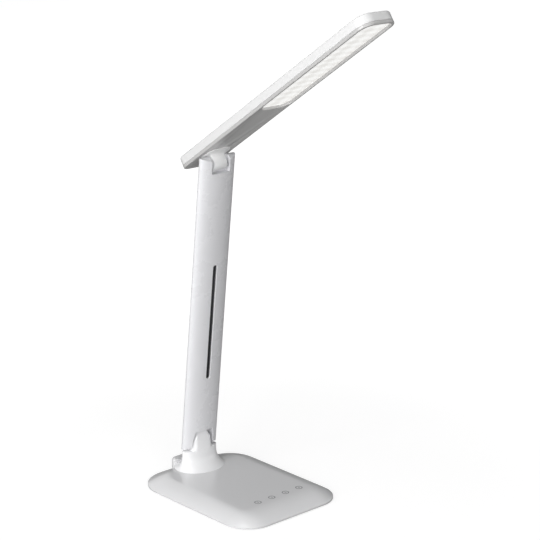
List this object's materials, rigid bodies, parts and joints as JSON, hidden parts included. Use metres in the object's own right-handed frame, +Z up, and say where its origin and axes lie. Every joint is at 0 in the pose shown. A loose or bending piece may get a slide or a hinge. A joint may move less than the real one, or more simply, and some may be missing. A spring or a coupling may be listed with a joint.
{
  "type": "folding led desk lamp",
  "caption": "Slim folding LED desk lamp: weighted touch-control base, oval hinged arm and a flat tilting light bar.",
  "frame": {"origin": "middle of the base outline at the level of the surface the lamp stands on", "axes": "+Z up, -Y the front (the user's side, where the head reaches), +X to the right as the user faces the lamp; both hinge axes run along X"},
  "size_m": [0.123, 0.2576, 0.4657],
  "materials": {
    "base_white": "glossy",
    "floor_grey": "matte",
    "ballast_steel": "zinc coated",
    "pad_rubber": "matte",
    "screw_steel": "plated",
    "board_green": "solder mask",
    "chip_black": "matte",
    "spring_steel": "plated",
    "mark_grey": "printed",
    "inlet_black": "moulded",
    "contact_brass": "plated",
    "wire_cover": "soft",
    "turret_white": "glossy",
    "pin_steel": "ground",
    "yoke_steel": "pressed",
    "arm_white": "glossy",
    "inlay_dark": "matte",
    "bracket_white": "satin",
    "head_white": "glossy",
    "bezel_white": "satin",
    "diffuser_white": "frosted, lit",
    "reflector_white": "satin",
    "board_white": "white solder mask",
    "led_yellow": "phosphor"
  },
  "bodies": {
    "base": {"base_cover": "base_white", "base_floor": "floor_grey", "ballast_plate": "ballast_steel", "rubber_pad": "pad_rubber", "base_screws": "screw_steel", "touch_board": "board_green", "touch_driver_chips": "chip_black", "touch_springs": "spring_steel", "touch_marks": "mark_grey", "power_inlet": "inlet_black", "inlet_pin": "contact_brass", "base_wires": "wire_cover", "turret": "turret_white", "turret_screws": "screw_steel"},
    "arm": {"base_hinge_pin": "pin_steel", "base_friction_washers": "pin_steel", "lower_hinge_yoke": "yoke_steel", "arm_front_shell": "arm_white", "arm_back_shell": "arm_white", "arm_slot_inlay": "inlay_dark", "arm_screws": "screw_steel", "arm_wires": "wire_cover", "upper_hinge_yoke": "yoke_steel", "head_hinge_pin": "pin_steel", "head_friction_washers": "pin_steel"},
    "head": {"head_bracket": "bracket_white", "bracket_screws": "screw_steel", "head_lower_shell": "bezel_white", "head_upper_shell": "head_white", "light_diffuser": "diffuser_white", "reflector_frame": "reflector_white", "led_board": "board_white", "led_chips": "led_yellow", "head_wires": "wire_cover"}
  },
  "joints": [
    {"name": "arm_tilt", "type": "hinge", "parent": "base", "child": "arm", "pos_m": [0, 0.0565, 0.03725], "axis": [1, 0, 0], "range_deg": [-10, 84]},
    {"name": "head_tilt", "type": "hinge", "parent": "arm", "child": "head", "pos_m": [0, 0.02712, 0.30947], "axis": [1, 0, 0], "range_deg": [-49.9, 130]}
  ]
}
